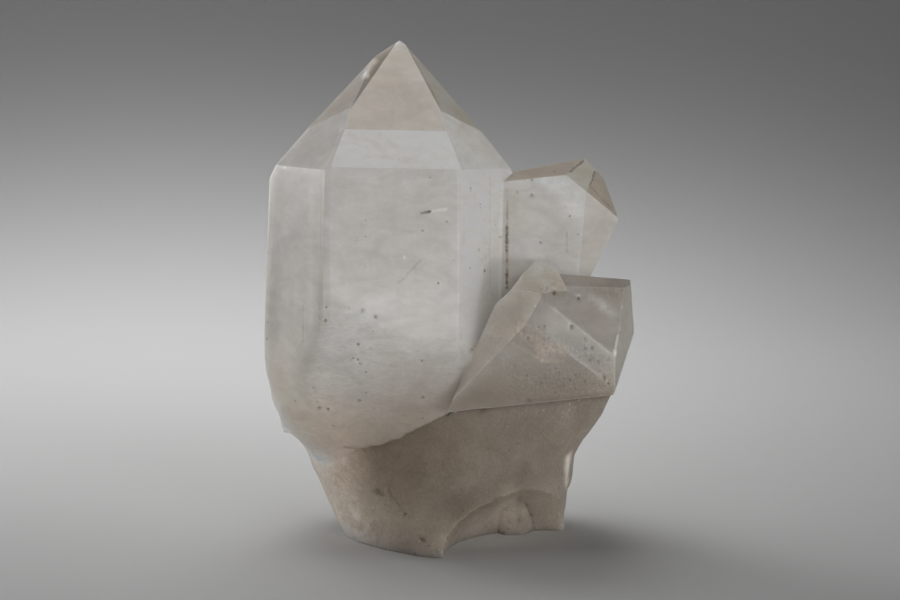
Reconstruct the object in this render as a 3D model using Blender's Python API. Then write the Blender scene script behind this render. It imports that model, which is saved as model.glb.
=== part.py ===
"""Quartz specimen: one large crystal, a shorter crystal behind it, a broken group at the
lower right and the lump of massive quartz that all of them grow from.

It all grew as one stone, so it is modelled as one closed solid. Lengths are in millimetres
while it is built and turn into metres at the end. +X is to the right of the front view,
-Y faces the front, and +Z is up from the flat that the specimen rests on.
"""
import bpy
import bmesh
from math import atan2, cos, pi, radians, sin, sqrt
from mathutils import Matrix, Vector, noise

MM = 0.001

# Sizes of the whole, used to set the rest out
REST_Z = 0.0
BLANK = 260.0

# Main crystal: the tip, and how its long axis leans
MAIN_TIP = (-14.35, 12.0, 139.8)
MAIN_LEAN_BACK = 9.8
MAIN_LEAN_RIGHT = 0.75
MAIN_TURN = 4.3

# Angle between the long axis and a face normal
RHOMB_SLOPE = 51.8
BAND_SLOPE = 57.8
PRISM_SLOPE = 88.8

# Faces of the main crystal: turn about the axis, slope from it, distance from the tip
MAIN_FACES = (
    ("tip front", -90.0, RHOMB_SLOPE, 0.0),
    ("tip back right", 30.0, RHOMB_SLOPE, 0.0),
    ("tip back left", 150.0, RHOMB_SLOPE, 0.0),
    ("tip left", -150.0, RHOMB_SLOPE, 3.2),
    ("tip right", -30.0, RHOMB_SLOPE, 0.75),
    ("tip back", 90.0, RHOMB_SLOPE, 2.0),
    ("band front", -90.0, BAND_SLOPE, 3.6),
    ("band left", -147.5, BAND_SLOPE - 1.0, 5.92),
    ("band right", -32.0, BAND_SLOPE, 3.87),
    ("band back", 90.0, BAND_SLOPE, 5.0),
    ("band bevel", -120.0, BAND_SLOPE, 8.65),
    ("prism front", -90.0, PRISM_SLOPE, 27.3),
    ("prism left", -150.8, PRISM_SLOPE, 30.9),
    ("prism right", -30.0, PRISM_SLOPE - 0.8, 26.5),
    ("prism back right", 30.0, PRISM_SLOPE, 28.7),
    ("prism back left", 150.0, PRISM_SLOPE, 30.6),
    ("prism back", 90.0, PRISM_SLOPE, 28.4),
    ("prism bevel", -120.0, PRISM_SLOPE, 33.3),
)

# Rounded lower end of the main crystal
TONGUE_CENTRE = (-18.0, 0.0, 72.0)
TONGUE_RADII = (36.5, 31.0, 56.0)
TONGUE_SQUARE = 3.5
TONGUE_FULLNESS = 2.0
TONGUE_ROLL = 8.0

# Crystal behind on the right: a point inside it, then turn, rise and distance of each face
SIDE_CENTRE = (32.0, 20.0, 88.5)
SIDE_FACES = (
    ("front", -74.8, 14.9, 14.29),
    ("front right", -47.4, 8.9, 14.0),
    ("upper left", -87.5, 73.7, 15.9),
    ("upper front", -40.0, 42.4, 14.95),
    ("upper right", -30.7, 28.4, 14.3),
    ("shoulder upper", 4.4, 42.5, 16.65),
    ("shoulder lower", -1.2, 20.7, 15.7),
    ("right", 1.0, 18.6, 15.7),
    ("right lower", -5.3, -27.2, 15.65),
    ("tip back", 50.0, 46.0, 16.0),
    ("back left", 144.9, 75.8, 14.9),
    ("back", 104.0, -6.0, 12.5),
    ("back right", 45.0, 2.0, 13.5),
    ("left", 180.0, 4.0, 26.0),
    ("bottom", 0.0, -90.0, 50.0),
)

# Broken group at the lower right, drawn the same way, with a small raised peak on it
LOW_CENTRE = (33.0, -14.0, 62.0)
LOW_FACES = (
    ("left front", -126.4, 29.5, 19.4),
    ("upper front", -66.9, 17.9, 12.3),
    ("middle front", -75.3, 8.1, 12.75),
    ("lower front", -84.8, -4.5, 14.45),
    ("right front", -27.2, 3.1, 15.7),
    ("right", -5.0, 4.4, 17.9),
    ("right lower", -8.3, -16.9, 17.85),
    ("top", -31.1, 81.8, 13.5),
    ("top back", 85.6, 67.0, 14.45),
    ("left behind", 161.0, 18.4, 18.6),
    ("left upper", 160.4, 39.8, 17.8),
    ("back", 96.0, -4.0, 26.0),
    ("back right", 40.0, 6.0, 23.0),
    ("bottom", -64.0, -76.6, 20.2),
    ("left", 180.0, 0.0, 40.0),
)
PEAK_FACES = (
    ("left front", -126.4, 29.5, 19.55),
    ("upper front", -66.9, 17.9, 12.45),
    ("peak top", 25.2, 78.1, 16.4),
    ("peak left", 170.7, 44.1, 19.5),
    ("peak right", 1.9, 26.6, 4.3),
    ("peak left low", 160.4, 39.8, 17.95),
    ("back", 90.0, -8.0, 8.0),
    ("bottom", 0.0, -90.0, -11.8),
)

# Massive quartz at the foot: height, left, right, front and back of each level, and how
# square its outline is, 2.0 being an ellipse
FOOT_LEVELS = (
    (-6.0, -28.0, 32.0, -30.0, 26.0, 1.6),
    (0.0, -31.5, 34.0, -30.5, 28.0, 1.6),
    (7.0, -35.0, 34.0, -29.0, 29.5, 1.65),
    (14.0, -37.5, 34.0, -26.5, 30.5, 1.8),
    (22.0, -41.5, 35.5, -23.5, 31.0, 2.0),
    (28.0, -43.5, 39.5, -22.5, 31.0, 2.2),
    (34.0, -45.5, 44.0, -23.0, 31.0, 2.2),
    (41.0, -47.0, 46.0, -23.0, 30.0, 2.2),
    (48.0, -47.0, 45.5, -21.0, 27.0, 2.2),
    (55.0, -44.0, 40.0, -15.0, 22.0, 2.2),
    (61.0, -34.0, 30.0, -6.0, 14.0, 2.0),
)
FOOT_NUB_X = -2.0
FRONT_LEFT_SQUARE = 1.75
FOOT_AROUND = 72
FOOT_RINGS = 20
FOOT_LUMP = 1.5
FOOT_LUMP_SIZE = 14.0
FOOT_RIPPLE = 0.45
FOOT_RIPPLE_SIZE = 5.0
NOISE_SHIFT = Vector((11.3, 4.7, 29.1))

# Flat breaks across the back and left of the foot: turn, rise and distance from its middle
FOOT_MIDDLE = (-2.0, 0.0, 24.0)
FOOT_BREAKS = (
    (112.0, -14.0, 27.5),
    (66.0, 6.0, 27.0),
    (150.0, 10.0, 33.5),
    (28.0, -20.0, 35.5),
    (-158.0, -22.0, 38.0),
)

# Hollow broken out under the right front of the foot
HOLLOW_CENTRE = (27.0, -29.5, 0.0)
HOLLOW_RADII = (29.0, 27.0, 17.0)

# Ridge standing in the hollow, from its foot to its top
RIDGE_FOOT = (18.0, 0.0, -2.0)
RIDGE_TOP = (18.6, -13.5, 15.5)
RIDGE_RADIUS = 7.5
RIDGE_SIDES = 6

# Broken stub that stands out under the left side of the main crystal
STUB_CENTRE = (-44.4, -3.0, 37.2)
STUB_SIZE = (7.0, 20.0, 11.8)
STUB_TILT = -8.0

# Thin fin at the right corner of the foot
FIN_CENTRE = (34.2, 2.5, 17.5)
FIN_SIZE = (2.6, 5.0, 11.0)
FIN_TILT = 7.0

# Pits: centre on the surface and radius
PITS = (
    (-21.0, -20.6, 16.4, 1.1),
    (-19.7, -21.4, 15.4, 0.9),
    (-17.3, -22.0, 18.0, 0.7),
    (-12.5, -25.3, 11.1, 0.7),
    (-8.0, -28.2, 4.8, 1.0),
    (-6.1, -29.2, 3.4, 0.8),
    (-36.1, -24.5, 41.1, 0.9),
    (-33.6, -24.8, 40.9, 0.7),
    (-25.0, -30.1, 59.9, 0.7),
    (28.1, -26.1, 73.5, 0.7),
)

GLASSY_COLOUR = (0.62, 0.60, 0.57, 1.0)
GLASSY_ROUGHNESS = 0.22
QUARTZ_IOR = 1.544


def clear_scene():
    """Empty the scene of every object in it."""
    for old in list(bpy.data.objects):
        bpy.data.objects.remove(old, do_unlink=True)


def new_collection(name):
    """Make a collection under the scene's own one."""
    made = bpy.data.collections.new(name)
    bpy.context.scene.collection.children.link(made)
    return made


def quartz_material():
    """Pale clear quartz with a polished lustre."""
    mat = bpy.data.materials.new("quartz_clear_milky")
    mat.use_nodes = True
    shader = mat.node_tree.nodes["Principled BSDF"]
    shader.inputs["Base Color"].default_value = GLASSY_COLOUR
    shader.inputs["Roughness"].default_value = GLASSY_ROUGHNESS
    shader.inputs["IOR"].default_value = QUARTZ_IOR
    return mat


def superellipse(across, along, square):
    """Stretch that carries a unit direction out to a squared-off unit circle."""
    return (abs(across) ** square + abs(along) ** square) ** (-1.0 / square)


def direction(turn, rise):
    """Unit vector from a turn about Z and a rise above the level, in degrees."""
    flat = cos(radians(rise))
    return Vector((flat * cos(radians(turn)), flat * sin(radians(turn)), sin(radians(rise))))


def cut_flat(bm, point, normal):
    """Cut away what lies beyond a plane and close the cut with one flat face."""
    everything = bm.verts[:] + bm.edges[:] + bm.faces[:]
    cut = bmesh.ops.bisect_plane(
        bm, geom=everything, plane_co=point, plane_no=normal, clear_outer=True)
    rim = [item for item in cut["geom_cut"] if isinstance(item, bmesh.types.BMEdge)]
    if rim:
        bmesh.ops.edgeloop_fill(bm, edges=rim)


def finish_mesh(bm, name, store):
    """Turn a bmesh into an object with faces that point outwards."""
    bmesh.ops.recalc_face_normals(bm, faces=bm.faces[:])
    mesh = bpy.data.meshes.new(name)
    bm.to_mesh(mesh)
    bm.free()
    made = bpy.data.objects.new(name, mesh)
    store.objects.link(made)
    return made


def faceted(name, placing, faces, store):
    """Cut a crystal out of a large block with one plane a face."""
    bm = bmesh.new()
    bmesh.ops.create_cube(bm, size=BLANK)
    for _label, turn, rise, distance in faces:
        normal = direction(turn, rise)
        cut_flat(bm, normal * distance, normal)
    bm.transform(placing)
    return finish_mesh(bm, name, store)


def main_crystal(store):
    """Large crystal, cut in its own frame with the tip at the origin, then leaned back."""
    placing = (
        Matrix.Translation(MAIN_TIP)
        @ Matrix.Rotation(radians(MAIN_LEAN_RIGHT), 4, "Y")
        @ Matrix.Rotation(radians(-MAIN_LEAN_BACK), 4, "X")
        @ Matrix.Rotation(radians(MAIN_TURN), 4, "Z"))
    faces = [(label, turn, 90.0 - slope, distance) for label, turn, slope, distance in MAIN_FACES]
    return faceted("main_crystal", placing, faces, store)


def tongue_limit(store):
    """Egg shape that rounds the lower end of the main crystal where both overlap."""
    bm = bmesh.new()
    bmesh.ops.create_uvsphere(bm, u_segments=56, v_segments=40, radius=1.0)
    for vert in bm.verts:
        flat = sqrt(vert.co.x ** 2 + vert.co.y ** 2)
        if flat > 0.001:
            across = vert.co.x / flat
            along = vert.co.y / flat
            stretch = superellipse(across, along, TONGUE_SQUARE)
            fuller = superellipse(flat, abs(vert.co.z), TONGUE_FULLNESS)
            vert.co.x = across * stretch * flat * fuller
            vert.co.y = along * stretch * flat * fuller
            vert.co.z *= fuller
        above = max(vert.co.z, 0.0)
        vert.co.x *= TONGUE_RADII[0] * (1.0 + above)
        vert.co.y *= TONGUE_RADII[1] * (1.0 + above)
        vert.co.z *= BLANK if vert.co.z > 0.0 else TONGUE_RADII[2]
    bm.transform(
        Matrix.Translation(TONGUE_CENTRE) @ Matrix.Rotation(radians(TONGUE_ROLL), 4, "Y"))
    return finish_mesh(bm, "tongue_limit", store)


def foot_outline(level, angle):
    """Point of the foot's outline at one level, squarer than an ellipse."""
    height, left, right, front, back, square = level
    across = cos(angle)
    along = sin(angle)
    half_across = (right - FOOT_NUB_X) if across > 0.0 else (FOOT_NUB_X - left)
    half_along = back if along > 0.0 else -front
    if across < 0.0 and along < 0.0:
        square = min(square, FRONT_LEFT_SQUARE)
    stretch = superellipse(across, along, square)
    return Vector((
        FOOT_NUB_X + half_across * across * stretch,
        half_along * along * stretch,
        height))


def level_at(share):
    """Level part of the way up the foot, between the two nearest given ones."""
    place = share * (len(FOOT_LEVELS) - 1)
    low = min(int(place), len(FOOT_LEVELS) - 2)
    part = place - low
    return [a + (b - a) * part for a, b in zip(FOOT_LEVELS[low], FOOT_LEVELS[low + 1])]


def foot_lump(store):
    """Lump of massive quartz: a drum cut into levels, shaped to each outline, then made uneven."""
    bm = bmesh.new()
    bmesh.ops.create_cone(
        bm, cap_ends=True, segments=FOOT_AROUND, radius1=1.0, radius2=1.0, depth=1.0)
    for step in range(1, FOOT_RINGS):
        everything = bm.verts[:] + bm.edges[:] + bm.faces[:]
        height = step / FOOT_RINGS - 0.5
        bmesh.ops.bisect_plane(
            bm, geom=everything, plane_co=(0.0, 0.0, height), plane_no=(0.0, 0.0, 1.0))
    for vert in bm.verts:
        angle = atan2(vert.co.y, vert.co.x)
        vert.co = foot_outline(level_at(vert.co.z + 0.5), angle)
    bm.normal_update()
    for vert in bm.verts:
        lump = noise.noise(vert.co / FOOT_LUMP_SIZE + NOISE_SHIFT) * FOOT_LUMP
        ripple = noise.noise(vert.co / FOOT_RIPPLE_SIZE + NOISE_SHIFT) * FOOT_RIPPLE
        outward = Vector((vert.normal.x, vert.normal.y, 0.0))
        vert.co += outward * (lump + ripple)
    for turn, rise, distance in FOOT_BREAKS:
        normal = direction(turn, rise)
        cut_flat(bm, Vector(FOOT_MIDDLE) + normal * distance, normal)
    return finish_mesh(bm, "foot_lump", store)


def hollow_cutter(store):
    """Rounded cutter for the hollow under the right front of the foot."""
    bm = bmesh.new()
    bmesh.ops.create_uvsphere(bm, u_segments=32, v_segments=20, radius=1.0)
    bm.transform(Matrix.Translation(HOLLOW_CENTRE) @ Matrix.Diagonal((*HOLLOW_RADII, 1.0)))
    return finish_mesh(bm, "hollow_cutter", store)


def ridge_cone(store):
    """Ridge left standing in the hollow, a cone that leans forward with its wall."""
    bm = bmesh.new()
    foot = Vector(RIDGE_FOOT)
    line = Vector(RIDGE_TOP) - foot
    bmesh.ops.create_cone(
        bm, cap_ends=True, segments=RIDGE_SIDES, radius1=RIDGE_RADIUS,
        radius2=0.8, depth=line.length)
    turn = line.to_track_quat("Z", "X").to_matrix().to_4x4()
    bm.transform(Matrix.Translation(foot + line / 2.0) @ turn)
    return finish_mesh(bm, "ridge_cone", store)


def tilted_block(name, centre, size, tilt, store):
    """Block turned a little about the front-to-back line."""
    bm = bmesh.new()
    bmesh.ops.create_cube(bm, size=1.0)
    bm.transform(
        Matrix.Translation(centre)
        @ Matrix.Rotation(radians(tilt), 4, "Y")
        @ Matrix.Diagonal((*size, 1.0)))
    return finish_mesh(bm, name, store)


def pit_cutter(index, x, y, z, radius, store):
    """Small rounded pit."""
    bm = bmesh.new()
    bmesh.ops.create_icosphere(bm, subdivisions=1, radius=radius)
    bm.transform(Matrix.Translation((x, y, z)))
    return finish_mesh(bm, "pit_%02d" % index, store)


def combine(target, tool, operation):
    """Apply one Boolean and put the tool away as a cutter."""
    step = target.modifiers.new(tool.name, "BOOLEAN")
    step.operation = operation
    step.solver = "EXACT"
    step.object = tool
    tool.hide_render = True
    tool.display_type = "WIRE"
    graph = bpy.context.evaluated_depsgraph_get()
    shaped = bpy.data.meshes.new_from_object(target.evaluated_get(graph))
    target.modifiers.clear()
    target.data = shaped


def rest_and_centre(target):
    """Cut the foot off flat, then put the middle of the base of the bounding box at the origin."""
    bm = bmesh.new()
    bm.from_mesh(target.data)
    cut_flat(bm, Vector((0.0, 0.0, REST_Z)), Vector((0.0, 0.0, -1.0)))
    bmesh.ops.triangulate(bm, faces=bm.faces[:])
    bmesh.ops.remove_doubles(bm, verts=bm.verts[:], dist=0.02)
    bmesh.ops.recalc_face_normals(bm, faces=bm.faces[:])
    xs = [vert.co.x for vert in bm.verts]
    ys = [vert.co.y for vert in bm.verts]
    middle = Vector(((min(xs) + max(xs)) / 2.0, (min(ys) + max(ys)) / 2.0, REST_Z))
    bm.transform(Matrix.Scale(MM, 4) @ Matrix.Translation(-middle))
    bm.to_mesh(target.data)
    bm.free()
    print("moved by", -middle, "triangles", len(target.data.polygons))


def build():
    """Make the specimen."""
    clear_scene()
    kept = new_collection("quartz_specimen")
    tools = new_collection("cutters")
    specimen = main_crystal(tools)
    combine(specimen, tongue_limit(tools), "INTERSECT")
    combine(specimen, foot_lump(tools), "UNION")
    combine(specimen, faceted("side_crystal", Matrix.Translation(SIDE_CENTRE), SIDE_FACES, tools), "UNION")
    combine(specimen, faceted("low_crystal", Matrix.Translation(LOW_CENTRE), LOW_FACES, tools), "UNION")
    combine(specimen, faceted("low_peak", Matrix.Translation(LOW_CENTRE), PEAK_FACES, tools), "UNION")
    combine(specimen, hollow_cutter(tools), "DIFFERENCE")
    combine(specimen, ridge_cone(tools), "UNION")
    combine(specimen, tilted_block("left_stub", STUB_CENTRE, STUB_SIZE, STUB_TILT, tools), "UNION")
    combine(specimen, tilted_block("right_fin", FIN_CENTRE, FIN_SIZE, FIN_TILT, tools), "UNION")
    for index, (x, y, z, radius) in enumerate(PITS):
        combine(specimen, pit_cutter(index, x, y, z, radius, tools), "DIFFERENCE")
    rest_and_centre(specimen)
    tools.objects.unlink(specimen)
    kept.objects.link(specimen)
    specimen.name = "quartz_cluster"
    specimen.data.name = "quartz_cluster"
    specimen.data.materials.clear()
    specimen.data.materials.append(quartz_material())


build()
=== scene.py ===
"""Looks of the quartz specimen: a finer stone over the CAD solid, its milky quartz material,
a plain pale sweep, soft studio light and the photograph's camera.

Lengths inside the stone's own code are millimetres in the drawing's frame, where the camera
looks at x = 0. SHIFT and MM turn them into the row frame in metres.
"""

from math import cos, pi, radians, sin, sqrt

import bmesh
import bpy
import numpy as np
from mathutils import Matrix, Vector, geometry, noise


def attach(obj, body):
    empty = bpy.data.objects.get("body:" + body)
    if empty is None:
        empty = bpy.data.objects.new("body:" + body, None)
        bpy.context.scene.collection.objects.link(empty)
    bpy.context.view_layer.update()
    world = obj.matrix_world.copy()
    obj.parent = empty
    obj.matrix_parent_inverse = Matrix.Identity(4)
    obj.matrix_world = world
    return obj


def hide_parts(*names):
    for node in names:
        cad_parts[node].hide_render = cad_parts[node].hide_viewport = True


MM = 0.001
SHIFT = np.array((0.2743, -2.0348, 0.0))
SEED = 7

# Points whose distances are measured at a time
BLOCK = 2000

# Camera of the photograph
CAMERA_LENS = 90.0
CAMERA_SENSOR = 36.0
CAMERA_DISTANCE = 0.640
CAMERA_PITCH = 10.0
CAMERA_TARGET = (0.0, 0.0, 67.0)

# Spacing of the mesh points on crystal faces, on natural surfaces, along crystal edges and in pits
FACE_STEP = 0.9
NATURAL_STEP = 0.62
EDGE_STEP = 0.6
EDGE_GUARD = 0.32
GRAIN_STEP = 0.28
GRAIN_REACH = 1.6

# Scattering, in steps: rows apart, jitter, and how far from the sides and from the guard row
ROW_SPACING = 0.866
JITTER = 0.16
SIDE_CLEARANCE = 0.62
GUARD_CLEARANCE = 0.45

# Guard row: how straight the outline is beside it, and its clearance; how far a grain's fine points go
GUARD_STRAIGHT = 1.2
GUARD_SHARE = 0.9
GRAIN_MARGIN = 0.3
GRAIN_FAR = 60.0

# Joining the CAD's triangles into flat faces: distance of points that are one, and angle in degrees
WELD = 0.004
FLAT_ANGLE = 0.4

# Finding the face at a place: distance off its plane, and what missing it or its middle counts
PLANE_SLACK = 1.0
MISS_COST = 20.0
MIDDLE_COST = 0.001

# Share of the way to its neighbours' middle that a point, a level or a tone moves in one round
CONTACT_PULL = 0.5
LEVEL_PULL = 0.7
TONE_PULL = 0.6

# Main crystal: its tip, how its long axis leans, and the turn and distance of its prism faces
MAIN_TIP = (-14.35, 12.0, 139.8)
MAIN_LEAN_BACK = 9.8
MAIN_LEAN_RIGHT = 0.75
MAIN_TURN = 4.3
PRISM_RISE = 1.2
PRISM_FACES = (
    (-90.0, 27.3), (-150.8, 30.9), (-30.0, 26.5), (30.0, 28.7), (150.0, 30.6), (90.0, 28.4),
    (-120.0, 33.3),
)

# Rounded lower end of the main crystal, and how deep it blends into the prism
TONGUE_CENTRE = (-18.0, 0.0, 72.0)
TONGUE_RADII = (36.5, 31.0, 56.0)
TONGUE_SQUARE = 3.5
TONGUE_ROLL = 8.0
TONGUE_RISE = 260.0
JOIN_DEPTH = 3.4

# Flat breaks of the foot: turn and rise
FOOT_BREAKS = ((112.0, -14.0), (66.0, 6.0), (150.0, 10.0), (28.0, -20.0), (-158.0, -22.0))

# Kinds of surface, and what tells them apart: cosines, heights, areas, nearness to the rounded end
CRYSTAL, TONGUE, FOOT, UNDERSIDE, PRISM = 0, 1, 2, 3, 4
FLAT_KINDS = {CRYSTAL, UNDERSIDE, PRISM}
SHARP_KINDS = {CRYSTAL, PRISM}
SAME_FACING = 0.9995
UNDER_FACING, UNDER_TOP = -0.999, 0.1
TONGUE_FACING = 0.985
PRISM_SLACK = 1.5
PRISM_LOW = 40.0
TONGUE_TOP = 76.0
FOOT_TOP = 36.0
GROUP_LOW = 62.0
ON_TONGUE, NEAR_TONGUE, OFF_TONGUE = 0.02, 0.08, 0.05
LEFT_STUB_X, LEFT_STUB_TOP, LEFT_STUB_AREA = -38.0, 45.0, 250.0
BROKEN_AREA = 45.0
SMALL_AREA = 5.0

# Left of this the rounded end and the foot run into each other, with no edge between them
MERGED_LEFT = -27.0
FREE_LEFT = -28.0

# Natural parts, as middle and radii: three that are smoothed more, and the stub, which is left
HOLLOW = ((18.0, -22.0, 10.0), (34.0, 32.0, 26.0))
FOOT_FRONT = ((-10.0, -24.0, 14.0), (34.0, 22.0, 26.0))
LEFT_END = ((-43.0, -14.0, 34.0), (19.0, 26.0, 20.0))
STUB = ((-46.0, -3.0, 36.5), (9.0, 20.0, 11.0))
FIN_BOX = ((31.0, -2.0, -1.0), (60.0, 6.5, 25.0))

# Left part of the low group, whose edges get no white chips and no painted edge highlight
QUIET_EDGES = ((19.0, -26.0, 66.0), (17.0, 14.0, 28.0))

# Rounds of smoothing: all of the natural surface, its softer parts, the hollow's edge, the ridges
ROUNDS = (60, 240, 200, 70)
CONTACT_ROUNDS = 40
JOIN_ROUNDS = 4
TONE_ROUNDS = 90
LONGEST_MOVE = 0.8

# How loose the points are: everywhere at most, on the fin, and what the stub takes off
LOOSENESS = 0.9
FIN_LOOSENESS = 0.15
STUB_HOLD = 0.98

# Ridges of the low group that are worn round: start, end and reach
WORN_RIDGES = (
    ((24.5, -27.9, 71.5), (19.6, -29.8, 64.5), 4.0),
    ((19.6, -29.8, 64.5), (7.0, -30.5, 45.0), 6.0),
    ((19.6, -29.8, 64.5), (29.0, -28.6, 59.5), 5.0),
    ((25.0, -26.5, 73.8), (16.5, -22.0, 74.4), 4.5),
)

# Edge of the hollow under the foot, which is worn round: points along it, and reach
HOLLOW_EDGE = (
    (0.6, -25.0, 4.0), (5.5, -25.7, 13.0), (12.5, -22.0, 16.6), (21.0, -17.4, 16.6), (25.4, -14.4, 15.1),
)
HOLLOW_REACH = 8.0

# Ragged left rim of the foot: start, end and reach of its small steps, and their height
RAGGED_RIM = ((-42.0, -12.0, 42.0), (-24.0, -14.0, 4.0), 12.0)
RAGGED_HEIGHT = 0.9

# Left of and behind these the massive foot fades into the crystals: place and length of the fade
FADE_LEFT = (-22.0, 14.0)
FADE_BACK = (4.0, 8.0)

# Rounds of blur: natural and rounded surface for the relief, the same for the looks, the foot's fade
RELIEF_BLUR = (2, 6)
LOOKS_BLUR = (5, 20)
FADE_BLUR = 60

# Layers of relief: wavelength and height
LUMPS = ((9.0, 0.30), (3.6, 0.12), (1.7, 0.07))
RAGGED = ((1.5, 1.0), (3.4, 1.0))
CHIPS = ((2.6, 1.0), (0.9, 0.5))
WAVE_LENGTHS = np.array((7.0, 7.0, 2.2))
WAVE_HEIGHT = 0.05
CHIP_DEPTH = 0.24
EDGE_WEAR = 0.02
GROOVE_WIDTH, GROOVE_DEPTH = 1.3, 0.40
PIT_SPREAD, PIT_DEPTH = 1.6, 0.7

# Angles in degrees: chipped edges, sharp edges, and sharp creases where two surfaces meet
CHIPPED_ANGLE = 12.0
SHARP_ANGLE = 2.0
CREASE_ANGLE = 6.0

# Dark grains in small pits: place and radius
GRAINS = (
    (-21.0, -20.6, 16.2, 0.75), (-19.8, -21.3, 15.8, 0.6), (-17.3, -22.0, 18.0, 0.45),
    (-12.5, -25.3, 11.1, 0.45), (-8.0, -28.2, 4.8, 0.7), (-6.1, -29.2, 3.4, 0.5),
    (-36.1, -24.3, 41.0, 0.52), (-33.6, -24.5, 40.8, 0.46), (-37.4, -24.7, 42.3, 0.42),
    (-32.7, -22.3, 35.2, 0.45), (-25.0, -29.9, 60.0, 0.50), (-25.1, -29.3, 55.7, 0.38),
    (28.2, -25.5, 73.4, 0.60), (26.4, -26.2, 74.9, 0.45), (35.2, -23.5, 71.6, 0.45),
    (19.8, -29.8, 63.2, 0.35), (23.3, 4.5, 96.5, 0.5), (-6.8, -23.9, 95.5, 0.4),
    (38.3, -26.9, 55.1, 0.4), (42.2, -26.6, 50.3, 0.45),
    (19.3, -28.8, 66.0, 0.38), (22.0, -29.7, 65.3, 0.33), (23.9, -28.9, 64.6, 0.33),
    (25.1, -28.7, 63.8, 0.3), (33.3, -26.9, 64.3, 0.38), (36.9, -26.5, 60.6, 0.3),
    (38.9, -26.3, 58.3, 0.36), (40.3, -26.3, 57.6, 0.3), (40.5, -26.5, 54.4, 0.36),
    (43.5, -25.8, 55.2, 0.34), (43.5, -26.2, 48.4, 0.45), (16.4, -28.6, 48.2, 0.33),
    (16.2, -28.8, 54.8, 0.3), (17.3, -29.0, 53.8, 0.3),
    (-21.8, -30.0, 59.0, 0.40), (-26.4, -29.3, 56.1, 0.33), (-24.5, -29.2, 54.5, 0.36),
    (-27.1, -29.1, 55.6, 0.30), (-37.6, -26.2, 47.1, 0.33), (-36.7, -25.0, 42.8, 0.40),
    (8.6, -10.2, 95.8, 0.45), (8.9, -9.9, 94.9, 0.36), (7.8, -13.9, 83.6, 0.36),
    (11.8, -6.8, 82.8, 0.45), (11.4, -7.4, 83.6, 0.36), (9.4, -11.5, 77.3, 0.45),
    (7.5, -15.4, 75.2, 0.36), (8.9, -10.9, 90.4, 0.33), (9.8, -9.7, 87.7, 0.33),
    (14.2, -0.5, 85.2, 0.36), (-28.7, -22.9, 101.4, 0.36), (-22.7, -24.2, 96.1, 0.36),
    (-27.5, -26.5, 84.0, 0.36), (-20.3, -29.7, 67.5, 0.38), (-23.8, -29.4, 69.3, 0.33),
    (-10.6, -30.6, 62.9, 0.33),
)

# Lines that part a crystal face where its tone changes: a point on the face, and two on the line
SPLITS = (
    ((-13.9, -3.8, 125.6), (-15.6, 10.6, 138.6), (-30.2, -12.6, 117.6)),
)

# Material slots
CLEAR, MILKY, MASSIVE = 0, 1, 2

# Tone of each crystal face, by a point on it: partly the face's own clear or milky tone, partly painted light
# and shade that sets faces lighter or darker for how light falls on and through them; here and below, one
# number stands for a grey
FACE_TONES_AND_SHADING = (
    ("tip front", (-13.9, -3.8, 125.6), MILKY, (0.90, 0.845, 0.785)),
    # Painted shade: the dark view through the clear tip
    ("tip front dark side", (-20.8, 4.5, 133.6), CLEAR, (0.48, 0.43, 0.36)),
    ("tip left", (-31.0, 3.4, 125.0), CLEAR, (1.24, 1.18, 1.12)),
    ("tip right", (0.0, 1.2, 121.5), CLEAR, (1.34, 1.26, 1.18)),
    ("band front", (-15.0, -17.7, 112.3), MILKY, 1.20),
    ("band left", (-39.5, -7.4, 110.6), MILKY, 0.93),
    ("band right", (7.0, -4.5, 110.3), MILKY, (1.12, 1.12, 1.11)),
    ("prism bevel", (-33.9, -26.1, 90.9), MILKY, (1.08, 1.08, 1.07)),
    ("prism left", (-42.9, -13.0, 89.0), MILKY, (0.96, 0.95, 0.93)),
    # Painted light: the right-facing prism face set brighter
    ("prism right", (8.3, -13.4, 91.8), MILKY, 1.22),
    ("side upper left", (28.8, 13.4, 103.2), CLEAR, (1.03, 0.95, 0.85)),
    ("side upper front", (37.4, 13.3, 101.4), CLEAR, (1.32, 1.26, 1.17)),
    ("side upper right", (43.4, 16.4, 97.0), CLEAR, (1.04, 0.97, 0.87)),
    ("side front", (28.4, 3.6, 88.0), MILKY, 0.92),
    ("side front right", (42.5, 10.1, 87.1), MILKY, (0.84, 0.81, 0.78)),
    ("low left", (15.0, -29.9, 59.8), MILKY, (0.90, 0.86, 0.81)),
    ("low upper", (36.9, -24.6, 67.2), CLEAR, (0.90, 0.88, 0.84)),
    ("low middle", (36.9, -26.9, 57.9), MILKY, (0.63, 0.605, 0.57)),
    ("low lower", (31.5, -27.6, 48.2), MILKY, (0.59, 0.555, 0.505)),
    ("low right", (49.1, -16.8, 64.9), CLEAR, (1.10, 1.09, 1.06)),
    ("peak left", (23.2, -23.4, 78.1), MILKY, (0.86, 0.82, 0.77)),
    ("peak left foot", (20.5, -24.2, 74.0), MILKY, (0.87, 0.83, 0.78)),
    ("peak front", (26.7, -25.9, 76.3), MILKY, (0.72, 0.69, 0.64)),
    ("low top", (39.4, -14.1, 74.8), CLEAR, (0.92, 0.88, 0.82)),
)
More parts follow.
